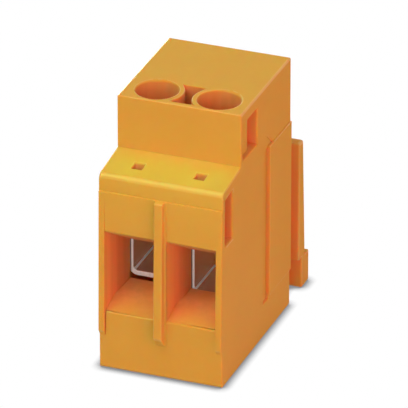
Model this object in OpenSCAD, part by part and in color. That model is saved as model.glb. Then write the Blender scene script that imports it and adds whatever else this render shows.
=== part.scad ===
// Two-pole feed-through terminal block with rising-cage screw clamps.
// Lengths are millimetres. X runs across the poles, Y runs from the wire side to the back, Z is up.
// The origin lies on the standing face, midway between the poles, under the face that meets the panel.

/* [Block] */
// Distance between the two poles, and half the width of the block
pole_pitch = 10.16; // [9.8:0.02:12]
// Depth of the block from its front face to the panel
body_depth = 30.1; // [29:0.1:36]
// Height of the block
body_height = 43.2; // [42:0.1:50]
// Depth of the shelf in front of the upper wall
shelf_depth = 8.1; // [7.6:0.1:8.4]
// Height at which the shelf meets the upper wall
shelf_height = 34.4; // [33.6:0.1:36]
// Fall of the shelf towards the front, in degrees
shelf_fall = 7; // [3:0.5:10]
// Radius of the front edge of the shelf
shelf_edge_r = 1; // [0.4:0.1:1.4]
// Height of the fine ledge that runs across the front
ledge_height = 30.6; // [29:0.1:31]
// Set-back of the front band above the ledge
ledge_step = 0.2; // [0.1:0.05:0.4]

/* [Wire funnels] */
// Wall left between a funnel and the edge of its pole, at the front face
funnel_border = 0.99; // [0.8:0.01:1.4]
// Height of the lower edge of a funnel at the front face
funnel_bottom = 10; // [9:0.1:10.4]
// Height of the upper edge of a funnel at the front face
funnel_top = 23.8; // [22:0.1:23.8]
// Radius of the lower lip of a funnel
funnel_lip_r = 0.4; // [0.2:0.05:0.6]
// Depth of the lead-in, where the floor is steep and the side walls are nearly parallel
lead_depth = 3.4; // [2.5:0.1:5]
// Draft of each side wall over the lead-in
lead_draft = 0.1; // [0:0.01:0.2]
// Rise of the funnel floor over the lead-in
lead_rise = 1.1; // [0.6:0.05:1.3]
// Height of the funnel floor where it meets the clamp
throat_floor = 11.6; // [11.4:0.05:11.8]
// Height of the funnel roof where it meets the clamp
throat_roof = 18.3; // [17.5:0.05:18.4]
// Width of the funnel where it meets the clamp
throat_width = 6.8; // [6:0.05:7.2]

/* [Front ribs] */
// Width of the rib between the poles
rib_width = 1.4; // [0.9:0.05:1.6]
// Height of that rib above the front face at its lower end
rib_proud = 1.5; // [1.2:0.05:2]
// Height of that rib above the front face at its top end
rib_top_proud = 0.9; // [0.6:0.05:1.2]
// Bevel at the foot of the rib
rib_foot = 0.3; // [0.1:0.05:0.3]
// Drop of the rib's top end from the ledge to its front edge
rib_top_drop = 0.2; // [0.1:0.05:1.5]
// Height at which the lower end of the rib begins to run out
rib_runout_top = 7.3; // [7:0.1:9]
// Height at which the rib has run out into the front face
rib_runout_end = 5.6; // [4:0.1:6]
// Height of the tapered border strips above the front face at their lower end
strip_proud = 0.5; // [0.2:0.05:0.8]
// Height at which a border strip is at its thickest
strip_thick_height = 6.6; // [6.4:0.1:7.4]
// Height at which a border strip has run out into the front face
strip_end = 5.8; // [4:0.1:6.2]
// Width of the fine slit between a border strip and the panel below a funnel
slit_width = 0.15; // [0.1:0.05:0.5]
// Depth of that slit
slit_depth = 0.3; // [0.2:0.05:0.8]

/* [Screw shafts and coring] */
// Distance from the front face to the screw axes
screw_setback = 12.1; // [12:0.05:12.6]
// Radius of the bores that a screwdriver enters
driver_bore_r = 3.4; // [3.3:0.05:3.6]
// Wall of the tubes around those bores
tube_wall = 0.87; // [0.7:0.01:0.9]
// Front-to-back length of the coring gap between the two tubes
gap_length = 6.1; // [4.5:0.1:6.4]
// Depth of that gap below the top face
gap_depth = 9; // [6:0.1:10]
// Front-to-back length of the upper coring pocket in each side
upper_pocket_length = 6.4; // [5:0.1:6.6]
// Height of the lower edge of the upper side pocket
upper_pocket_bottom = 35; // [34.6:0.1:36]
// Rim left between the upper side pocket and the top face
upper_pocket_rim = 2; // [1.5:0.1:3]
// Depth of the upper side pocket
upper_pocket_depth = 2.9; // [1.5:0.1:3.2]
// Distance of the lower side pocket from the front face
lower_pocket_front = 1.2; // [0.9:0.1:1.6]
// Front-to-back length of the lower side pocket
lower_pocket_length = 3.3; // [2:0.1:3.5]
// Height of the lower edge of the lower side pocket
lower_pocket_bottom = 23.9; // [23.9:0.1:26]
// Depth of the lower side pocket
lower_pocket_depth = 3.4; // [2:0.1:3.6]
// Wall left between the lower side pocket and the shelf
shelf_wall = 1.75; // [1.2:0.05:2.5]
// Width of the square test sockets in the shelf
test_socket = 1.6; // [1.2:0.05:1.8]
// Distance from the front face to the middle of a test socket
test_setback = 3.95; // [3:0.05:4.5]
// Depth of a test socket
test_depth = 4; // [2:0.1:5]
// Wall around the coring pockets in the back face
core_wall = 1.25; // [1:0.05:1.5]

/* [Sides] */
// Distance from the front face to the side groove
groove_front = 18; // [17.8:0.1:18.6]
// Width of the side groove
groove_width = 2.4; // [1.5:0.1:3]
// Depth of the side groove
groove_depth = 0.5; // [0.3:0.05:0.6]
// Height of the lower end of the side groove
groove_bottom = 5.6; // [4:0.1:8]
// Height of the upper end of the side groove
groove_top = 32; // [30:0.1:32.2]
// Height of the shallow notch that leads into the groove, above the upper edge of the pad
notch_height = 2.1; // [1:0.1:2.6]
// Depth of that notch
notch_depth = 0.25; // [0.1:0.05:0.3]
// Front-to-back length of the notch along its level upper edge
notch_flat = 1.6; // [0.5:0.1:2.4]
// Front-to-back length of the notch at its foot, on the upper edge of the pad
notch_length = 4.2; // [3.2:0.1:5]
// Height of the raised pads behind the side grooves above the sides
pad_raise = 0.23; // [0.1:0.01:0.4]
// Height of the lower edge of a pad
pad_bottom = 6.3; // [5:0.1:9]
// Height of the upper edge of a pad
pad_top = 32.3; // [32.2:0.1:33]

/* [Panel fixing] */
// Clear width of the groove that takes the edge of the panel
panel_groove = 4.2; // [2:0.1:5]
// Width of the neck that passes through the panel
neck_width = 15.8; // [15.6:0.1:17.2]
// Height of the flange behind the panel
flange_height = 26.2; // [24:0.1:27]
// Distance from the top of the flange down to the top of the neck
neck_drop = 2.6; // [1:0.1:3]
// Thickness of the flange at its top edge
flange_top_thick = 1.8; // [1:0.1:2.2]
// Thickness of the flange at its lower edge
flange_low_thick = 2.9; // [2:0.1:3.6]
// Height of the foot below the flange
foot_height = 5.5; // [4:0.1:9]
// Set-back of the foot from the front of the flange
foot_setback = 1.4; // [0.5:0.1:1.6]
// Thickness of the foot
foot_thick = 3.3; // [2:0.1:4]

/* [Clamps] */
// Thickness of the folded strip of a clamp cage
strip_thick = 0.85; // [0.6:0.05:1]
// Clear width inside a cage
cage_inside = 5.9; // [5.7:0.05:6.1]
// Inside radius of the bends of a cage
bend_r = 0.7; // [0.4:0.05:1]
// Front-to-back depth of a cage
cage_depth = 8.5; // [7.5:0.1:8.6]
// Distance from the front face to the front edge of a cage
cage_setback = 9.2; // [9:0.05:9.3]
// Height of the upper face of a cage's floor with the clamp fully open
cage_floor_open = 11.3; // [11:0.05:11.4]
// Width of a current bar
bar_width = 4.8; // [4.4:0.05:5]
// Thickness of a current bar
bar_thick = 1.5; // [1:0.05:1.8]
// Height of the underside of a current bar
bar_height = 18.5; // [18.5:0.05:19]
// Length of a bar that stands out behind the flange as a solder lug
lug_length = 4.8; // [4:0.1:8]
// Radius of the solder eye in a lug
lug_eye_r = 1.1; // [0.6:0.05:1.4]
// Bevel on the corners of a lug
lug_bevel = 1; // [0.4:0.1:1.4]
// Radius of a clamp screw at its thread
screw_r = 1.95; // [1.5:0.05:2.2]
// Pitch of the screw thread
screw_pitch = 0.7; // [0.5:0.05:0.8]
// Radius of a screw head
head_r = 2.75; // [2.5:0.05:2.9]
// Height of a screw head
head_height = 2.6; // [2:0.1:3.2]
// Bevel around the top of a screw head
head_bevel = 0.3; // [0.1:0.05:0.5]
// Bevel at the tip of a screw
tip_bevel = 0.6; // [0.2:0.05:1]
// Width of the driver slot in a screw head
slot_width = 1; // [0.6:0.05:1.4]
// Depth of the driver slot
slot_depth = 1.3; // [0.8:0.05:1.6]
// Turns by which the left clamp stands closed
left_turns = 2.25; // [0:0.25:8]
// Turns by which the right clamp stands closed
right_turns = 0; // [0:0.25:8]

/* [Clearances] */
// Gap between a cage and the walls of its shaft
cage_gap = 0.15; // [0.1:0.05:0.25]
// Gap between a cage and its current bar at either end of the stroke
bar_stroke_gap = 0.2; // [0.1:0.05:0.3]
// Gap between a current bar and its slot in the block
bar_slot_gap = 0.05; // [0.02:0.01:0.1]
// Gap between the tip of a screw and its current bar
tip_gap = 0.05; // [0.02:0.01:0.1]
// Radial gap between a screw and the thread of its cage
thread_gap = 0.05; // [0.02:0.01:0.08]
// Gap between the two laps at the top of a cage
lap_gap = 0.05; // [0.02:0.01:0.1]
// Gap between a raised cage and the head of its screw
head_gap = 0.3; // [0.2:0.05:0.5]
// Radial gap around the head of a screw, and the gap above it to the driver bore
head_side_gap = 0.25; // [0.15:0.05:0.3]

/* [Hidden] */
$fn = 64;
arc_steps = 6;
past = 1; // how far a cut runs out past the face that it opens

left = -1;
right = 1;
plastic = [0.92, 0.58, 0.2];
tinned_copper = [0.72, 0.68, 0.62];
plated_steel = [0.66, 0.64, 0.61];

half_width = pole_pitch;
pole_x = pole_pitch / 2;
funnel_half = pole_x - funnel_border;
core_width = pole_pitch - 2 * core_wall;
tube_r = driver_bore_r + tube_wall;
groove_back = groove_front + groove_width;

flange_front = body_depth + panel_groove;
foot_front = flange_front + foot_setback;
foot_back = foot_front + foot_thick;

cage_half = cage_inside / 2 + strip_thick;
shaft_half = cage_half + cage_gap;
shaft_front = cage_setback - cage_gap;
shaft_back = cage_setback + cage_depth + cage_gap;

bar_top = bar_height + bar_thick;
bar_front = cage_setback + bar_stroke_gap;
lap_inner = bar_top + bar_stroke_gap - cage_floor_open; // underside of the inner lap above the cage floor
lap_outer = lap_inner + strip_thick + lap_gap; // underside of the outer lap
cage_top = lap_outer + strip_thick;
stroke = bar_height - bar_stroke_gap - cage_floor_open;
shaft_top = cage_floor_open + cage_top + stroke + cage_gap;
head_bottom = shaft_top - cage_gap + head_gap;
head_top = head_bottom + head_height;
driver_bore_bottom = head_top + head_side_gap;
tip_bottom = bar_top + tip_gap;

// Height of the shelf at a distance from the front face
function shelf_z(y) = shelf_height - (shelf_depth - y) * tan(shelf_fall);

// Back face of the tapered flange at a height
function flange_back(z) = flange_front + flange_low_thick
    - (flange_low_thick - flange_top_thick) * (z - foot_height) / (flange_height - foot_height);

// Points of an arc from one angle to another
function arc(centre, r, from, to) =
    [for (i = [0:arc_steps]) let (a = from + (to - from) * i / arc_steps) centre + r * [cos(a), sin(a)]];

// A closed outline from its right half, listed away from the middle and back to it
function mirrored(half) = concat(half, [for (i = [len(half) - 1:-1:0]) [-half[i][0], half[i][1]]]);

// Puts a shape that is drawn from the front face into the frame of the part
module from_front() {
    translate([0, -body_depth, 0]) children();
}

// Extrudes an outline of the YZ plane along X, between two places
module along_x(x_low, x_high) {
    translate([x_low, 0, 0]) rotate([90, 0, 90]) linear_extrude(x_high - x_low) children();
}

// Extrudes an outline of the XZ plane along Y, between two places
module along_y(y_low, y_high) {
    translate([0, y_high, 0]) rotate([90, 0, 0]) linear_extrude(y_high - y_low) children();
}

// Repeats a shape at both poles
module at_poles() {
    for (side = [left, right])
        translate([side * pole_x, 0, 0]) children();
}

// Repeats a shape that is drawn on the right side of the block on both sides
module on_sides() {
    children();
    mirror([1, 0, 0]) children();
}

// A box between two corners
module box(low, high) {
    translate(low) cube(high - low);
}

// Side view of the block in front of the panel
module body_outline() {
    edge = [ledge_step + shelf_edge_r, shelf_z(ledge_step + shelf_edge_r) - shelf_edge_r / cos(shelf_fall)];
    polygon(concat(
        [[0, 0], [body_depth, 0], [body_depth, body_height], [shelf_depth, body_height],
            [shelf_depth, shelf_height]],
        arc(edge, shelf_edge_r, 90 + shelf_fall, 180),
        [[ledge_step, ledge_height], [0, ledge_height]]));
}

// Raised pad behind the groove, on both sides
module side_pads() {
    along_x(-half_width - pad_raise, half_width + pad_raise)
        translate([groove_back, pad_bottom]) square([body_depth - groove_back, pad_top - pad_bottom]);
}

// Neck through the panel, tapered flange behind it, and the foot below the flange
module panel_fixing() {
    neck_half = neck_width / 2;
    neck_front = body_depth - past;
    box([-neck_half, neck_front, 0],
        [neck_half, flange_front + flange_top_thick / 2, flange_height - neck_drop]);
    box([-neck_half, neck_front, 0], [neck_half, foot_front + foot_thick / 2, foot_height]);
    along_x(-half_width, half_width)
        polygon([[flange_front, foot_height], [flange_back(foot_height), foot_height],
            [flange_back(flange_height), flange_height], [flange_front, flange_height]]);
    box([-half_width, foot_front, 0], [half_width, foot_back, foot_height]);
}

// Rib between the poles: a bevelled section, cut to a side view with a run-out at its lower end
module centre_rib() {
    rib_half = rib_width / 2;
    intersection() {
        translate([0, 0, rib_runout_end]) linear_extrude(ledge_height - rib_runout_end)
            polygon(mirrored([[rib_half, -rib_proud], [rib_half, -rib_foot], [rib_half + rib_foot, 0],
                [rib_half + rib_foot, past]]));
        along_x(-half_width, half_width)
            polygon([[past, rib_runout_end], [0, rib_runout_end], [-rib_proud, rib_runout_top],
                [-rib_top_proud, ledge_height - rib_top_drop], [0, ledge_height], [past, ledge_height]]);
    }
}

// Border strip of the front face, which thickens downwards from the ledge
module border_strip() {
    along_x(half_width - funnel_border, half_width)
        polygon([[past, strip_end], [0, strip_end], [-strip_proud, strip_thick_height], [0, ledge_height],
            [past, ledge_height]]);
}

// Slit beside a border strip, which runs to a point at the end of the strip
module border_slit() {
    slit_x = half_width - funnel_border - slit_width;
    along_y(-past, slit_depth)
        polygon([[slit_x, funnel_bottom + past], [slit_x + slit_width, funnel_bottom + past],
            [slit_x + slit_width, strip_end], [slit_x, funnel_bottom]]);
}

// Wire funnel: a plan that narrows to the throat, cut to a side view with a rounded lip
module funnel() {
    lip = [funnel_lip_r, funnel_bottom - funnel_lip_r];
    into_shaft = shaft_front + past;
    intersection() {
        linear_extrude(body_height)
            polygon(mirrored([[funnel_half, -past], [funnel_half, 0],
                [funnel_half - lead_draft, lead_depth], [throat_width / 2, shaft_front],
                [throat_width / 2, into_shaft]]));
        along_x(-half_width, half_width)
            polygon(concat(
                [[-past, lip[1]]],
                arc(lip, funnel_lip_r, 180, 90),
                [[lead_depth, funnel_bottom + lead_rise], [shaft_front, throat_floor],
                    [into_shaft, throat_floor], [into_shaft, throat_roof], [shaft_front, throat_roof],
                    [0, funnel_top], [-past, funnel_top]]));
    }
}

// Shaft of a clamp, open below for the cage and above for the screw and the driver
module clamp_shaft() {
    box([-shaft_half, shaft_front, -past], [shaft_half, shaft_back, shaft_top]);
    translate([0, screw_setback, shaft_top - past])
        cylinder(r = head_r + head_side_gap, h = driver_bore_bottom - shaft_top + 2 * past);
    translate([0, screw_setback, driver_bore_bottom])
        cylinder(r = driver_bore_r, h = body_height - driver_bore_bottom + past);
}

// Slot for a current bar, from the clamp shaft to the back of the flange
module bar_slot() {
    box([-bar_width / 2 - bar_slot_gap, shaft_back - past, bar_height - bar_slot_gap],
        [bar_width / 2 + bar_slot_gap, foot_back + past, bar_top + bar_slot_gap]);
}

// Both screw tubes as solid posts, to be kept clear of the coring around them
module tube_posts() {
    at_poles() translate([0, screw_setback, 0]) cylinder(r = tube_r, h = body_height + 2 * past);
}

// Coring gap between the tubes, and the upper pocket in each side, both bounded by the tubes
module tube_coring() {
    gap_half = gap_length / 2;
    pocket_half = upper_pocket_length / 2;
    difference() {
        union() {
            box([-pole_x, screw_setback - gap_half, body_height - gap_depth],
                [pole_x, screw_setback + gap_half, body_height + past]);
            on_sides()
                box([half_width - upper_pocket_depth, screw_setback - pocket_half, upper_pocket_bottom],
                    [half_width + past, screw_setback + pocket_half, body_height - upper_pocket_rim]);
        }
        tube_posts();
    }
}

// Lower pocket in a side, under the shelf
module lower_side_pocket() {
    pocket_back = lower_pocket_front + lower_pocket_length;
    along_x(half_width - lower_pocket_depth, half_width + past)
        polygon([[lower_pocket_front, lower_pocket_bottom], [pocket_back, lower_pocket_bottom],
            [pocket_back, shelf_z(pocket_back) - shelf_wall],
            [lower_pocket_front, shelf_z(lower_pocket_front) - shelf_wall]]);
}

// Groove in a side with the shallow notch that leads into it
module side_groove() {
    notch_low = groove_top - past;
    notch_top = pad_top + notch_height;
    box([half_width - groove_depth, groove_front, groove_bottom],
        [half_width + past, groove_back, groove_top]);
    along_x(half_width - notch_depth, half_width + past)
        polygon([[groove_front, notch_low], [groove_back, notch_low], [groove_back, pad_top],
            [groove_front + notch_length, pad_top], [groove_front + notch_flat, notch_top],
            [groove_front, notch_top]]);
}

// Square test socket in the shelf
module test_hole() {
    box([-test_socket / 2, test_setback - test_socket / 2, shelf_z(test_setback) - test_depth],
        [test_socket / 2, test_setback + test_socket / 2, shelf_height + past]);
}

// Coring pocket of a pole in the back face, above the flange
module back_core() {
    box([-core_width / 2, groove_back - core_wall / 2, flange_height + core_wall],
        [core_width / 2, body_depth + past, body_height - core_wall]);
}

// Folded strip of a cage: from the inner lap down, across the floor, up and back over as the outer lap
module cage_outline() {
    inner_half = cage_inside / 2;
    outer_r = bend_r + strip_thick;
    bend_x = inner_half - bend_r;
    lap_end = bend_x - lap_gap;
    polygon(concat(
        [[lap_end, lap_inner + strip_thick]],
        arc([-bend_x, lap_inner - bend_r], outer_r, 90, 180),
        arc([-bend_x, bend_r], outer_r, 180, 270),
        arc([bend_x, bend_r], outer_r, 270, 360),
        arc([bend_x, lap_outer - bend_r], outer_r, 0, 90),
        [[-cage_half, cage_top], [-cage_half, lap_outer]],
        arc([bend_x, lap_outer - bend_r], bend_r, 90, 0),
        arc([bend_x, bend_r], bend_r, 360, 270),
        arc([-bend_x, bend_r], bend_r, 270, 180),
        arc([-bend_x, lap_inner - bend_r], bend_r, 180, 90),
        [[lap_end, lap_inner]]));
}

module housing() {
    color(plastic) from_front() difference() {
        union() {
            along_x(-half_width, half_width) body_outline();
            side_pads();
            panel_fixing();
            centre_rib();
            on_sides() border_strip();
        }
        at_poles() {
            funnel();
            clamp_shaft();
            bar_slot();
            test_hole();
            back_core();
        }
        tube_coring();
        on_sides() {
            lower_side_pocket();
            side_groove();
            border_slit();
        }
    }
}

module current_bar(side) {
    lug_back = flange_front + flange_low_thick + lug_length;
    bar_half = bar_width / 2;
    color(tinned_copper) from_front() translate([side * pole_x, 0, bar_height]) difference() {
        linear_extrude(bar_thick)
            polygon(mirrored([[bar_half, bar_front], [bar_half, lug_back - lug_bevel],
                [bar_half - lug_bevel, lug_back]]));
        translate([0, lug_back - lug_length / 2, -past])
            cylinder(r = lug_eye_r, h = bar_thick + 2 * past);
    }
}

module clamp_cage(side, turns) {
    color(plated_steel) from_front() translate([side * pole_x, 0, cage_floor_open + turns * screw_pitch])
        difference() {
            along_y(cage_setback, cage_setback + cage_depth) cage_outline();
            translate([0, screw_setback, lap_inner - past])
                cylinder(r = screw_r + thread_gap, h = cage_top - lap_inner + 2 * past);
        }
}

module clamp_screw(side) {
    color(plated_steel) from_front() translate([side * pole_x, screw_setback, 0]) difference() {
        rotate_extrude()
            polygon([[0, tip_bottom], [screw_r - tip_bevel, tip_bottom], [screw_r, tip_bottom + tip_bevel],
                [screw_r, head_bottom], [head_r, head_bottom], [head_r, head_top - head_bevel],
                [head_r - head_bevel, head_top], [0, head_top]]);
        box([-slot_width / 2, -head_r - past, head_top - slot_depth],
            [slot_width / 2, head_r + past, head_top + past]);
    }
}

module current_bar_left() { current_bar(left); }
module current_bar_right() { current_bar(right); }
module clamp_cage_left() { clamp_cage(left, left_turns); }
module clamp_cage_right() { clamp_cage(right, right_turns); }
module clamp_screw_left() { clamp_screw(left); }
module clamp_screw_right() { clamp_screw(right); }

housing();
current_bar_left();
current_bar_right();
clamp_cage_left();
clamp_cage_right();
clamp_screw_left();
clamp_screw_right();
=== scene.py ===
# %% [markdown]
# # A two-pole terminal block in orange plastic
# The real block is one orange moulding that holds six metal pieces: two folded steel cages, two screws
# that lift them, and two flat bars that carry the current through a panel.
# All of its shapes and sizes come from a CAD model, which is loaded here as a fixed frame. This lesson
# gives that model its looks. Each piece is copied, its edges are rounded, and the copy stands in for it.

# %% Load the frame
import math

import bmesh
import bpy
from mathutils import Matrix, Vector
from mathutils.geometry import intersect_point_line


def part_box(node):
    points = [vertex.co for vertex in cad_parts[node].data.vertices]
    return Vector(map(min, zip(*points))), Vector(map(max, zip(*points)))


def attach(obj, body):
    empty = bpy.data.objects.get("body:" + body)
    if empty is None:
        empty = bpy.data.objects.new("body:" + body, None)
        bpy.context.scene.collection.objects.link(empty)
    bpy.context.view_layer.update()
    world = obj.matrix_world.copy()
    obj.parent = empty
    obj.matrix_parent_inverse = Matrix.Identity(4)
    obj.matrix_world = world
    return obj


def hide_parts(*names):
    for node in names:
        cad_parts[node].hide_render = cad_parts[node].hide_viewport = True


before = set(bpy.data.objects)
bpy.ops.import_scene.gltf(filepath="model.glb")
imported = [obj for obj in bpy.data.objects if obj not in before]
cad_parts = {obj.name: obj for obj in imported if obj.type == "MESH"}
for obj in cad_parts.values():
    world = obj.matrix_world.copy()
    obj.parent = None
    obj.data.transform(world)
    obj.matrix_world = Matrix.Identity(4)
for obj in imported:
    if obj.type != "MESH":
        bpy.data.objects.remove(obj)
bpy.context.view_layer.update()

MM = 0.001
scene = bpy.context.scene
print("pieces in the frame:", sorted(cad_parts))

# %% [markdown]
# ## The camera
# A product photograph like this one is taken from far away with a long lens, so that edges that are
# parallel on the block stay nearly parallel in the picture. An orthographic camera would come close, but
# a very long lens keeps the slight narrowing towards the back.
# The camera stands on a line from the aim point, set by how far it is turned and raised from the front.

# %% Camera
turned_right = math.radians(20.83)
raised = math.radians(26.94)
camera_distance = 1000 * MM
aim_point = Vector((7.1, -29.91, 31.33)) * MM
sensor_width = 36
focal_length = 579.7

level = math.cos(raised)
from_aim = Vector((math.sin(turned_right) * level, -math.cos(turned_right) * level, math.sin(raised)))
lens = bpy.data.cameras.new("long_lens")
lens.sensor_width = sensor_width
lens.lens = focal_length
camera = bpy.data.objects.new("camera", lens)
camera.location = aim_point + camera_distance * from_aim
camera.rotation_euler = from_aim.to_track_quat("Z", "Y").to_euler()
scene.collection.objects.link(camera)
scene.camera = camera
print("camera stands at", [round(v, 3) for v in camera.location], "m")

# %% [markdown]
# ## Small helpers for materials
# A Blender material is a graph of nodes. Writing out each node, its inputs and its links takes many
# lines, so one helper adds a node and fills its inputs: an input gets a link if it is given another
# node's output, and a plain value if not.

# %% Node helpers
def add_node(tree, kind, inputs=None, **settings):
    """Adds a shader node, sets its options, and fills its inputs with links or values."""
    node = tree.nodes.new("ShaderNode" + kind)
    for name, value in settings.items():
        setattr(node, name, value)
    for name, value in (inputs or {}).items():
        if isinstance(value, bpy.types.NodeSocket):
            tree.links.new(value, node.inputs[name])
        else:
            node.inputs[name].default_value = value
    return node


def new_material(name):
    """A new node material, with its tree and its Principled shader."""
    material = bpy.data.materials.new(name)
    material.use_nodes = True
    tree = material.node_tree
    return material, tree, tree.nodes["Principled BSDF"]


print("node helpers are ready")

# %% [markdown]
# ## Patterns
# Real surfaces are never one flat colour. Four more helpers make patterns and use them: a cloudy noise, a
# measure of how open a place is, and two that turn such a pattern into a range of values or into a mix of
# colours. How open a place is comes from an Ambient Occlusion node, which sends out short rays and counts
# those that hit nothing.

# %% Pattern helpers
def noise(tree, place, scale, detail, roughness=0.5):
    """A cloudy pattern that runs from 0 to 1."""
    inputs = {"Vector": place, "Scale": scale, "Detail": detail, "Roughness": roughness}
    return add_node(tree, "TexNoise", inputs).outputs["Fac"]


def open_share(tree, reach, closed, opened, **settings):
    """0 where walls within reach take away most of the view, 1 in the open."""
    view = add_node(tree, "AmbientOcclusion", {"Distance": reach}, **settings).outputs["AO"]
    limits = {"Value": view, "From Min": closed, "From Max": opened}
    return add_node(tree, "MapRange", limits).outputs["Result"]


def spread(tree, factor, low, high):
    """Maps a pattern that runs from 0 to 1 onto a range of values."""
    return add_node(tree, "MapRange", {"Value": factor, "To Min": low, "To Max": high}).outputs["Result"]


def blend_colours(tree, factor, first, second):
    """Mixes two colours, or the outputs of two nodes, by a pattern that runs from 0 to 1."""
    def as_input(colour):
        return colour if isinstance(colour, bpy.types.NodeSocket) else (*colour, 1)

    inputs = {"Fac": factor, "Color1": as_input(first), "Color2": as_input(second)}
    return add_node(tree, "MixRGB", inputs).outputs["Color"]


print("pattern helpers are ready")

# %% [markdown]
# ## The white ground
# The block stands on a white sheet that runs on out of the picture. In the picture the sheet is pure
# white, apart from a narrow shadow along the foot of the block. A strong lamp would bleach the sheet, but
# it would bleach the block as well.
# So the sheet has two sides to it. For the light in the scene it is a pale matt plane. For the camera,
# and for shiny surfaces that mirror it, it is plain white, with a shadow where the block takes away its
# view.

# %% Ground
floor_reach = 3.0
floor_pale = (0.60, 0.60, 0.60, 1)
white = (1, 1, 1)
shadow_grey = (0.27, 0.27, 0.28)
shadow_reach = 1.6 * MM
beside_a_wall, in_the_open = 0.5, 1.0


def seen_rays(tree):
    """1 for rays from the camera and rays that a shiny or clear surface passes on, 0 for the rest."""
    path = add_node(tree, "LightPath").outputs
    shiny, clear = path["Is Glossy Ray"], path["Is Transmission Ray"]
    passed_on = add_node(tree, "Math", {0: shiny, 1: clear}).outputs[0]
    return add_node(tree, "Math", {0: path["Is Camera Ray"], 1: passed_on}, use_clamp=True).outputs[0]


bpy.ops.mesh.primitive_plane_add(size=floor_reach)
floor = bpy.context.object
floor.name = "floor"
floor_paper, tree, shader = new_material("white_ground")
tree.nodes.remove(shader)
openness = open_share(tree, shadow_reach, beside_a_wall, in_the_open, samples=16)
shade = blend_colours(tree, openness, shadow_grey, white)
seen = add_node(tree, "Emission", {"Color": shade}).outputs[0]
lit = add_node(tree, "BsdfDiffuse", {"Color": floor_pale}).outputs[0]
ground = add_node(tree, "MixShader", {0: seen_rays(tree), 1: lit, 2: seen}).outputs[0]
tree.links.new(ground, tree.nodes["Material Output"].inputs["Surface"])
floor.data.materials.append(floor_paper)
print("the floor reaches", floor_reach, "m")

# %% [markdown]
# ## The surroundings
# A studio with white walls gives soft light from all sides. The walls are split as the ground is: they
# are white to look at, and give less light than that to the block, because the lamps give it the rest.
# The Standard view shows each colour as it is, without the softer curve of a film.

# %% Surroundings
surroundings_light = 0.38
white_light = 1.0
world = bpy.data.worlds.new("white_studio")
world.use_nodes = True
scene.world = world
tree = world.node_tree
background = tree.nodes["Background"].inputs
background["Color"].default_value = (*white, 1)
tree.links.new(spread(tree, seen_rays(tree), surroundings_light, white_light), background["Strength"])
scene.view_settings.view_transform = "Standard"
print("the surroundings light at", surroundings_light)

# %% [markdown]
# ## Soft studio lamps
# Large lamps close to a small object give broad, soft shading. The key lamp hangs above the front, where
# the rounded edges between the front and the top mirror it towards the camera. The front lamp stands low,
# so that its light reaches into the wire funnels, and a warm lamp on the right fills the side. A small
# lamp with a hood lights the shelf alone, which is a little yellower than the rest. The camera in front
# sees nothing of the last lamp, which stands low behind the block, so that its back and its left side are
# not left in the dark.

# %% Lamps
block_middle = Vector((0, -15, 20)) * MM
shelf_middle = Vector((-0.5, -26.7, 34)) * MM
on_a_stand = 0.7
close_by = 0.1
open_lamp = 180
hooded = 8
key_tint = (0.95, 1.0, 0.6)
cool_tint = (0.65, 1.0, 1.15)
warm_tint = (1.0, 0.24, 0.18)
shelf_tint = (0.12, 1.0, 0.3)
back_tint = (1.0, 0.85, 0.5)


def softbox(name, target, direction, distance, sides, tint, watts, beam=open_lamp):
    """A rectangular lamp that looks at a target from a direction."""
    lamp = bpy.data.lights.new(name, "AREA")
    lamp.shape = "RECTANGLE"
    lamp.size, lamp.size_y = sides
    lamp.energy = watts
    lamp.color = tint
    lamp.spread = math.radians(beam)
    stand = bpy.data.objects.new(name, lamp)
    away = Vector(direction).normalized()
    stand.location = target + distance * away
    stand.rotation_euler = away.to_track_quat("Z", "Y").to_euler()
    scene.collection.objects.link(stand)
    print(name, "gives", watts, "W from", [round(v, 2) for v in away])


softbox("key_lamp", block_middle, (-0.12, -0.46, 0.84), on_a_stand, (0.40, 0.40), key_tint, 2.42)
softbox("front_lamp", block_middle, (0.25, -0.90, 0.36), on_a_stand, (0.45, 0.35), cool_tint, 1.14)
softbox("warm_lamp", block_middle, (0.79, -0.54, 0.29), on_a_stand, (0.35, 0.35), warm_tint, 2.2)
softbox("shelf_lamp", shelf_middle, (0, -0.5, 0.87), close_by, (0.024, 0.006), shelf_tint, 0.00031, hooded)
softbox("back_lamp", block_middle, (-0.62, 0.77, 0.08), on_a_stand, (0.40, 0.14), back_tint, 2.2)

# %% [markdown]
# ## Orange plastic
# The housing is moulded in a satin polyamide. Seen closely, such plastic has a fine grain from the mould,
# and its colour and gloss drift a little where the melt flowed. It is also slightly see-through for red
# light, which travels almost a millimetre inside it and softens the edges of shadows.
# A plain colour would look like paint. Noise patterns in the object's own coordinates give grain and flow
# without any image, and Subsurface lets the red light travel. Light that bounces on between the walls of
# a recess reddens too. The path tracer gives part of this, and the rest is painted shade: the base colour
# turns redder by how little of the view is open, with faint upright lines, as a mould core leaves them
# when it is drawn out.
# The rounded edges are smoother than the faces, so they get a glossier version of the same plastic.

# %% Orange plastic
open_colours = (0.64, 0.335, 0.057), (0.69, 0.365, 0.068)
# painted shade: redder colours for the recesses, standing in for light that bounces between their walls
painted_recess_shade = (0.70, 0.232, 0.080), (0.88, 0.292, 0.104)
recess_reach = 16 * MM
deep_in, near_the_mouth = 0.25, 0.65
flow_scale, flow_roughness = 140, 0.6
grain_scale, grain_strength, grain_depth = 7000, 0.25, 0.01 * MM
upright_lines = (900, 900, 40)
yellow_gleam = (0.72, 1.0, 0.4, 1)
light_travel = 0.8 * MM
travel_of_colours = (1.0, 0.2, 0.1)


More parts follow.
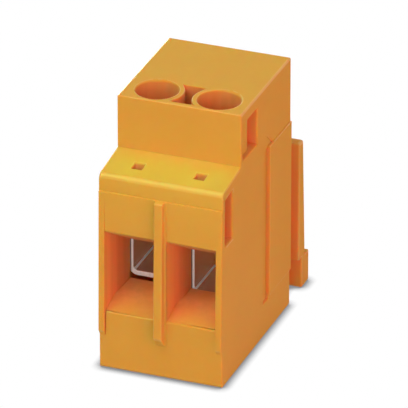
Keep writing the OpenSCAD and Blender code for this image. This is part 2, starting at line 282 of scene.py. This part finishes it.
def orange_plastic(name, gloss, smooth, rough):
    """The moulded plastic, with its gloss and the range of its roughness."""
    material, tree, shader = new_material(name)
    place = add_node(tree, "TexCoord").outputs["Object"]
    flow = noise(tree, place, flow_scale, 3, flow_roughness)
    drawn = add_node(tree, "Mapping", {"Vector": place, "Scale": upright_lines}).outputs["Vector"]
    outside = blend_colours(tree, flow, *open_colours)
    # painted shade: the redder recess colour, with its upright lines, takes over where little of the view
    # is open
    inside = blend_colours(tree, noise(tree, drawn, 1, 2), *painted_recess_shade)
    openness = open_share(tree, recess_reach, deep_in, near_the_mouth, samples=8, only_local=True)
    tree.links.new(blend_colours(tree, openness, inside, outside), shader.inputs["Base Color"])
    tree.links.new(spread(tree, flow, smooth, rough), shader.inputs["Roughness"])
    grain = noise(tree, place, grain_scale, 2)
    bump = add_node(tree, "Bump", {"Height": grain, "Strength": grain_strength, "Distance": grain_depth})
    tree.links.new(bump.outputs["Normal"], shader.inputs["Normal"])
    shader.inputs["Specular IOR Level"].default_value = gloss
    shader.inputs["Specular Tint"].default_value = yellow_gleam
    shader.inputs["Subsurface Weight"].default_value = 1.0
    shader.inputs["Subsurface Radius"].default_value = travel_of_colours
    shader.inputs["Subsurface Scale"].default_value = light_travel
    print("made", name)
    return material


satin_orange = orange_plastic("satin_orange", 0.02, 0.42, 0.56)
glossy_orange = orange_plastic("glossy_orange", 0.68, 0.26, 0.36)

# %% [markdown]
# ## Plated metal
# The cages are folded from rolled steel strip with bright zinc on it, the screws are turned and plated,
# and the bars are copper with a dull tin coat. All have a fine pattern in their gloss, so one function
# makes them: lines drawn out along one direction for rolling or turning, and soft clouds for the plating.
# The flat faces of the strip mirror the orange walls around them. A sheared edge is bright where the blade
# cut through, and the middle of a bend glints. Both get a near-white colour that is hardly metallic, which
# is a painted highlight. The outer part of each sheared edge is rough and dark.

# %% Plated metals
cloud_scale = 900
line_strength, line_depth = 0.08, 0.001 * MM
along_y, along_x, around_z = (300, 9000, 300), (6000, 300, 300), (900, 900, 9000)


def plated_metal(name, dull, bright, smooth, rough, stretch, metallic):
    """A metal with two tones, the range of its roughness, and the way in which its lines run."""
    material, tree, shader = new_material(name)
    place = add_node(tree, "TexCoord").outputs["Object"]
    drawn = add_node(tree, "Mapping", {"Vector": place, "Scale": stretch}).outputs["Vector"]
    lines = noise(tree, drawn, 1, 3)
    clouds = noise(tree, place, cloud_scale, 2)
    tree.links.new(blend_colours(tree, clouds, dull, bright), shader.inputs["Base Color"])
    tree.links.new(spread(tree, lines, smooth, rough), shader.inputs["Roughness"])
    bump = add_node(tree, "Bump", {"Height": lines, "Strength": line_strength, "Distance": line_depth})
    tree.links.new(bump.outputs["Normal"], shader.inputs["Normal"])
    shader.inputs["Metallic"].default_value = metallic
    print("made", name)
    return material


strip_steel = plated_metal("strip_steel", (0.90, 0.82, 0.70), (0.97, 0.90, 0.79), 0.20, 0.30, along_y, 0.85)
# painted highlight: a near-white, hardly metallic colour on the bends stands in for their glint
bend_painted_highlight = plated_metal("bend_painted_highlight", (0.94, 0.94, 0.90), (0.98, 0.98, 0.94), 0.25, 0.40, along_y, 0)
# painted highlight: the bright sheared edge, near-white and hardly metallic
cut_painted_highlight = plated_metal("cut_painted_highlight", (0.96, 0.96, 0.92), (0.99, 0.99, 0.96), 0.24, 0.32, along_x, 0.1)
# a dark, rough metal for the outer part of each sheared edge
dark_cut_steel = plated_metal("dark_cut_steel", (0.26, 0.22, 0.19), (0.38, 0.33, 0.28), 0.50, 0.70, along_x, 0.7)
screw_steel = plated_metal("screw_steel", (0.58, 0.56, 0.52), (0.68, 0.66, 0.61), 0.22, 0.38, around_z, 1)
tinned = plated_metal("tinned_copper", (0.62, 0.60, 0.56), (0.74, 0.71, 0.66), 0.32, 0.48, along_x, 1)

# %% [markdown]
# ## A plain copy to work on
# The CAD pieces come in as triangles. A round has to follow the real edges of a face and not the seams
# between its triangles, so the copy is first cleaned: points in the same place are merged, and triangles
# that lie in one plane become one face. The CAD piece itself stays as it is.

# %% Copy a CAD piece
SAME_POINT = 0.001 * MM
SAME_PLANE = math.radians(0.5)


def plain_copy(node_name):
    """An editable copy of a CAD piece, with its triangles merged into whole faces."""
    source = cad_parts[node_name].data
    flat = bpy.data.meshes.new(node_name + "_flat")
    flat.from_pydata([v.co for v in source.vertices], [], [p.vertices[:] for p in source.polygons])
    shape = bmesh.new()
    shape.from_mesh(flat)
    bpy.data.meshes.remove(flat)
    bmesh.ops.remove_doubles(shape, verts=shape.verts, dist=SAME_POINT)
    bmesh.ops.dissolve_limit(shape, angle_limit=SAME_PLANE, verts=shape.verts, edges=shape.edges)
    return shape


trial = plain_copy("housing")
print("the housing has", len(trial.faces), "whole faces")
trial.free()

# %% [markdown]
# ## Where the sharp edges are
# An edge counts as sharp if its two faces meet at more than 25 degrees. The fine facets of a curve meet
# at less, so they stay together as one smooth patch. Sharp edges that follow on from each other without a
# corner, such as the rim of a bore, make one run.

# %% Patches and runs
SHARP = math.radians(25)
CORNER = math.radians(30)


def smooth_patches(shape, sharp):
    """Numbers the faces, with one number for all faces that no sharp edge divides."""
    patch = {}
    for seed in shape.faces:
        number = len(patch)
        waiting = [seed] if seed not in patch else []
        while waiting:
            face = waiting.pop()
            if face not in patch:
                patch[face] = number
                waiting += [near for edge in face.edges if edge not in sharp for near in edge.link_faces]
    return patch


def turn_at(vert, edge, near):
    """The change of direction on the way from one edge to the next through a shared point."""
    return (vert.co - edge.other_vert(vert).co).angle(near.other_vert(vert).co - vert.co)


def smooth_runs(sharp):
    """Numbers the sharp edges, with one number for all that follow on without a corner."""
    run = {}
    for seed in sharp:
        number = len(run)
        waiting = [seed] if seed not in run else []
        while waiting:
            edge = waiting.pop()
            if edge not in run:
                run[edge] = number
                waiting += [near for vert in edge.verts for near in vert.link_edges
                            if near in sharp and near is not edge and turn_at(vert, edge, near) < CORNER]
    return run


print("an edge is sharp above", round(math.degrees(SHARP)), "degrees")

# %% [markdown]
# ## What stands in the way of a round
# A thin band of light along every edge is what makes a moulded or folded part look real, because no real
# edge is perfectly sharp. Blender's Bevel modifier rounds edges, and it can read from each edge how wide
# its round is to be.
# One width for all edges would fail here: beside a step of a quarter of a millimetre a wide round runs
# into the next edge. So each edge first gets a list of the edges that its round could reach. These border
# the same smooth patch, and run another way or belong to another run.

# %% Find the obstacles
WIDE_ANGLE = math.radians(60)


def in_the_way(edge, heading, other, other_heading, run):
    """Whether a round on one edge could run into another edge of the same patch."""
    shared = set(edge.verts) & set(other.verts)
    if shared:
        fork = math.pi - turn_at(shared.pop(), edge, other)
        return fork < WIDE_ANGLE
    return run[edge] != run[other] or heading.angle(other_heading) > WIDE_ANGLE


def find_obstacles(shape, sharp):
    """For each sharp edge, the edges that its round must not reach."""
    patch, run = smooth_patches(shape, sharp), smooth_runs(sharp)
    borders, sides = {}, {edge: [] for edge in sharp}
    for edge in sharp:
        for loop in edge.link_loops:
            heading = loop.link_loop_next.vert.co - loop.vert.co
            borders.setdefault(patch[loop.face], []).append((edge, heading))
            sides[edge].append((patch[loop.face], heading))
    return {
        edge: [other for number, heading in sides[edge] for other, other_heading in borders[number]
               if other is not edge and in_the_way(edge, heading, other, other_heading, run)]
        for edge in sharp
    }


print("edges that meet at less than", round(math.degrees(WIDE_ANGLE)), "degrees are in each other's way")

# %% [markdown]
# ## How much room each edge has
# The distance to the edges in the way is measured at several points of an edge. A round takes at most two
# fifths of it, and grows more slowly where there is more room. The ends of a long edge are measured apart
# from its middle, so that an edge that ends at a small step keeps its round and narrows just before it.

# %% Measure the room
FAR = 1.0
SHARE = 0.4
SMALL = 0.1 * MM
GROWTH = 0.1
END_LENGTH = 0.6 * MM
SHORT = 3 * END_LENGTH
STRETCHES = 4


def distance_to(point, edge):
    """Distance from a point to an edge."""
    start, end = (v.co for v in edge.verts)
    nearest, along = intersect_point_line(point, start, end)
    if along <= 0:
        nearest = start
    if along >= 1:
        nearest = end
    return (point - nearest).length


def widths_along(edge, obstacles, wanted):
    """The width of the round at the start, along the middle and at the end of an edge."""
    def width_at(along):
        point = edge.verts[0].co.lerp(edge.verts[1].co, along)
        room = min((distance_to(point, other) for other in obstacles), default=FAR)
        return min(wanted, SHARE * room, SMALL + GROWTH * room)

    length = edge.calc_length()
    if length < SHORT:
        narrow = min(width_at(along) for along in (0, 0.5, 1))
        return narrow, narrow, narrow
    inset = END_LENGTH / length
    places = [inset + (1 - 2 * inset) * step / STRETCHES for step in range(STRETCHES + 1)]
    middle = min(width_at(along) for along in places)
    return min(width_at(0), middle), middle, min(width_at(1), middle)


print("a round may take", SHARE, "of the room beside its edge")

# %% [markdown]
# ## Give each edge its width
# The widths go onto the edges as bevel weights, which are shares of the modifier's width. Outer edges get
# a wider round than inner corners, as on a real moulding. An edge that narrows towards an end is split
# there. A round that would be too narrow to see is left out.

# %% Weigh the edges
TOO_NARROW = 0.012 * MM
NEARLY = 0.9


def weigh_edges(shape, outer, inner):
    """Writes a bevel weight on each sharp edge of a shape."""
    weights = shape.edges.layers.float.new("bevel_weight_edge")
    sharp = {edge: None for edge in shape.edges if edge.calc_face_angle(0) > SHARP}
    obstacles = find_obstacles(shape, sharp)
    plans = []
    for edge in sharp:
        wanted = outer if edge.is_convex else inner
        plans.append((edge, tuple(edge.verts), widths_along(edge, obstacles[edge], wanted)))
    for edge, ends, (first, middle, last) in plans:
        edge[weights] = middle / outer if middle > TOO_NARROW else 0
        for vert, width in zip(ends, (first, last)):
            if width < NEARLY * middle and middle > TOO_NARROW:
                made = bmesh.utils.edge_split(edge, vert, END_LENGTH / edge.calc_length())[0]
                end, rest = (edge, made) if vert in edge.verts else (made, edge)
                rest[weights] = middle / outer
                end[weights] = width / outer if width > TOO_NARROW else 0
                edge = rest
    return len(plans)


print("a round is left out below", TOO_NARROW / MM, "mm")

# %% [markdown]
# ## Round the edges
# The Bevel modifier makes the rounds, and it can give them a material of their own. Its result is kept as
# the piece's mesh, so that it can be worked on: points that now coincide are merged, and rounds in inner
# corners, which a mould leaves as dull as the faces, get the first material back.

# %% Round the edges
SEGMENTS = 3
HOLLOW = math.radians(-2)
COINCIDENT = 0.0002 * MM
NO_OWN_MATERIAL = -1


def rounded_mesh(piece, outer, round_material):
    """The mesh of a piece with its weighed edges rounded."""
    bevel = piece.modifiers.new("round_edges", "BEVEL")
    bevel.width = outer
    bevel.segments = SEGMENTS
    bevel.limit_method = "WEIGHT"
    bevel.use_clamp_overlap = False
    bevel.loop_slide = False
    bevel.material = round_material
    mesh = bpy.data.meshes.new_from_object(piece.evaluated_get(bpy.context.evaluated_depsgraph_get()))
    piece.modifiers.clear()
    return mesh


def clean_rounds(mesh, round_material):
    """Merges points that coincide, and gives rounds in inner corners the first material back."""
    shape = bmesh.new()
    shape.from_mesh(mesh)
    bmesh.ops.remove_doubles(shape, verts=shape.verts, dist=COINCIDENT)
    for face in shape.faces:
        if face.material_index == round_material:
            if min(edge.calc_face_angle_signed(0) for edge in face.edges) < HOLLOW:
                face.material_index = 0
    shape.to_mesh(mesh)
    shape.free()


print("each round is made of", SEGMENTS, "strips")

# %% [markdown]
# ## Dress a piece
# Faces are shaded smoothly up to a crease, and the Weighted Normal modifier lets the large faces decide,
# so that they stay flat up to the round. The piece gets its materials and is tied to the body that it
# moves with, and the CAD piece that it stands for is hidden.

# %% Dress a piece
CREASE = math.radians(40)


def dress(name, shape, outer, materials, body, node, round_material=NO_OWN_MATERIAL):
    """Makes a rounded piece from a shape, and hides the CAD node that it stands for."""
    mesh = bpy.data.meshes.new(name)
    shape.to_mesh(mesh)
    shape.free()
    piece = bpy.data.objects.new(name, mesh)
    scene.collection.objects.link(piece)
    for material in materials:
        mesh.materials.append(material)
    rounded = rounded_mesh(piece, outer, round_material)
    piece.data = rounded
    rounded.name = name
    clean_rounds(rounded, round_material)
    rounded.shade_smooth()
    rounded.set_sharp_from_angle(angle=CREASE)
    piece.modifiers.new("flat_faces_lead", "WEIGHTED_NORMAL").keep_sharp = True
    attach(piece, body)
    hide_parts(node)
    print(name, "has", len(rounded.polygons), "faces")


print("faces that meet at more than", round(math.degrees(CREASE)), "degrees keep their crease")

# %% [markdown]
# ## The housing
# The orange moulding is the one piece that every other piece sits in. Its outer edges have rounds of
# almost half a millimetre, and a mould gives inner corners much smaller ones. The large round at the
# front of the shelf is in the CAD model already, as a row of narrow faces that look forwards and upwards,
# so these are picked out by their direction and size and get the glossier plastic too.

# %% Housing
outer_round = 0.45 * MM
inner_round = 0.12 * MM
narrow_face = 8 * MM**2
leaning = 0.3
GLOSSY = 1
shape = plain_copy("housing")
print("the housing has", weigh_edges(shape, outer_round, inner_round), "sharp edges")
for face in shape.faces:
    if face.normal.y < -leaning and face.normal.z > leaning and face.calc_area() < narrow_face:
        face.material_index = GLOSSY
dress("moulded_housing", shape, outer_round, [satin_orange, glossy_orange],
      "block", "housing", GLOSSY)

# %% [markdown]
# ## The clamp cages
# Each cage is a steel strip, folded around the wire space. Its long edges were sheared from a coil. A
# sheared edge is bright where the blade cut through the metal, and here that brightness is a painted
# highlight, a near-white colour. Painting this with a texture would need a picture of the edge. It is
# simpler to cut the faces that look forwards or backwards upright, a little way in from each side, and to
# give the part outside the cut a dark, rough metal. The middle of each bend gets a painted highlight too,
# and all edges get a fine round.

# %% Clamp cages
cage_round = 0.08 * MM
dark_cut_depth = 0.42 * MM
facing = 0.9
bent = 0.55
FOLD, CUT, DARK_CUT = 1, 2, 3


def cut_sides(shape, places):
    """Cuts the front and back faces of a cage upright at some places across it."""
    for place in places:
        ends = [face for face in shape.faces if abs(face.normal.y) > facing]
        parts = {part for face in ends for part in (face, *face.edges, *face.verts)}
        bmesh.ops.bisect_plane(shape, geom=list(parts), dist=SAME_POINT, plane_co=(place, 0, 0),
                               plane_no=(1, 0, 0))


for side in ("left", "right"):
    low, high = (Vector(corner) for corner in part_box("clamp_cage_" + side))
    shape = plain_copy("clamp_cage_" + side)
    cut_sides(shape, (low.x + dark_cut_depth, high.x - dark_cut_depth))
    weigh_edges(shape, cage_round, cage_round)
    for face in shape.faces:
        across, along, upwards = (abs(part) for part in face.normal)
        middle = face.calc_center_median()
        # faces looking forwards or backwards get the painted highlight of a cut edge with a dark band
        # outside it, and the bends get a painted highlight
        if along > facing:
            face.material_index = DARK_CUT if min(middle.x - low.x, high.x - middle.x) < dark_cut_depth else CUT
        elif min(across, upwards) > bent:
            face.material_index = FOLD
    dress("folded_cage_" + side, shape, cage_round, [strip_steel, bend_painted_highlight, cut_painted_highlight, dark_cut_steel],
          "cage_" + side, "clamp_cage_" + side)

# %% [markdown]
# ## The current bars
# The bars are stamped from flat copper and tinned. They carry the current from the clamps to the lugs
# behind the panel, and only their ends show. A stamped edge is rounded a little by the punch.

# %% Current bars
bar_round = 0.12 * MM
for side in ("left", "right"):
    shape = plain_copy("current_bar_" + side)
    weigh_edges(shape, bar_round, bar_round)
    dress("stamped_bar_" + side, shape, bar_round, [tinned],
          "block", "current_bar_" + side)

# %% [markdown]
# ## The points of a thread
# In the CAD model the shank of a screw is a plain cylinder. On the real screw a thread runs around it
# like a ramp around a tower. A texture or a bump could only paint it, so it is made as a surface: one
# profile of the thread, with a flat crest, a flat root and two slopes, is placed in steps around the axis,
# and each step is a little higher than the one before. At the tip the thread is turned down to a cone.

# %% Thread points
PITCH = 0.7 * MM
CREST = 1.95 * MM
ROOT = 1.53 * MM
SLOPE = (ROOT + CREST) / 2
PROFILE = (ROOT, ROOT, ROOT, SLOPE, CREST, CREST, SLOPE, ROOT)
STEPS = 48
TIP_RADIUS = 1.35 * MM


def thread_points(shape, axis, tip, rows):
    """Columns of points around an upright axis, one profile above another, each column a step higher."""
    rise = PITCH / len(PROFILE)
    columns = []
    for step in range(STEPS):
        turn = step / STEPS
        angle = math.tau * turn
        column = []
        for row in range(rows):
            height = tip + (row - len(PROFILE)) * rise + turn * PITCH
            radius = min(PROFILE[row % len(PROFILE)], TIP_RADIUS + max(0, height - tip))
            column.append(shape.verts.new((axis.x + radius * math.cos(angle),
                                           axis.y + radius * math.sin(angle), height)))
        columns.append(column)
    return columns


print("the thread is", CREST / MM * 2, "mm thick and climbs", PITCH / MM, "mm in a turn")

# %% [markdown]
# ## The surface of a thread
# Faces join each column of points to the next. After one turn the profile has risen by one pitch, so the
# last column is joined to the first one a whole profile higher. The surface starts below the tip and ends
# above the top, is cut off level at both, and both ends are closed.

# %% Thread surface
ON_PLANE = 0.0001 * MM
SPARE_ROWS = 2 * len(PROFILE)


def add_thread(shape, axis, tip, top):
    """Adds a right-hand thread to a shape, from its tip up to a height."""
    rows = math.ceil((top - tip) / PITCH * len(PROFILE)) + SPARE_ROWS
    columns = thread_points(shape, axis, tip, rows)
    faces = []
    for step, near in enumerate(columns):
        far = columns[(step + 1) % STEPS]
        lift = len(PROFILE) if step == STEPS - 1 else 0
        for row in range(rows - 1 - lift):
            faces.append(shape.faces.new((near[row], far[row + lift], far[row + lift + 1], near[row + 1])))
    for height, outward in ((tip, -1), (top, 1)):
        parts = {part for face in faces if face.is_valid for part in (face, *face.edges, *face.verts)}
        cut = bmesh.ops.bisect_plane(shape, geom=list(parts), dist=ON_PLANE, plane_co=(0, 0, height),
                                     plane_no=(0, 0, outward), clear_outer=True)
        rim = [part for part in cut["geom_cut"] if isinstance(part, bmesh.types.BMEdge)]
        bmesh.ops.contextual_create(shape, geom=rim)
    return len(faces)


print("a turn of the thread has", STEPS * len(PROFILE), "faces")

# %% [markdown]
# ## The screws
# A clamp screw has a round head with a slot for the driver, deep in the bore, and a threaded shank that
# draws the cage up. The head comes from the CAD model. Its plain shank is taken off, the opening that
# this leaves in the head is closed, and the thread takes its place, reaching a little way into the head.

# %% Screws
screw_round = 0.1 * MM
head_height = 2.6 * MM
reach_in = 0.2 * MM
margin = 0.01 * MM
for side in ("left", "right"):
    low, high = (Vector(corner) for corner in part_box("clamp_screw_" + side))
    shape = plain_copy("clamp_screw_" + side)
    head_bottom = high.z - head_height
    shank = [face for face in shape.faces if face.calc_center_median().z < head_bottom - margin]
    bmesh.ops.delete(shape, geom=shank, context="FACES")
    bmesh.ops.holes_fill(shape, edges=[edge for edge in shape.edges if edge.is_boundary])
    weigh_edges(shape, screw_round, screw_round)
    made = add_thread(shape, (low + high) / 2, low.z, head_bottom + reach_in)
    bmesh.ops.recalc_face_normals(shape, faces=shape.faces)
    print("the thread on the", side, "is made of", made, "faces")
    dress("threaded_screw_" + side, shape, screw_round, [screw_steel],
          "screw_" + side, "clamp_screw_" + side)
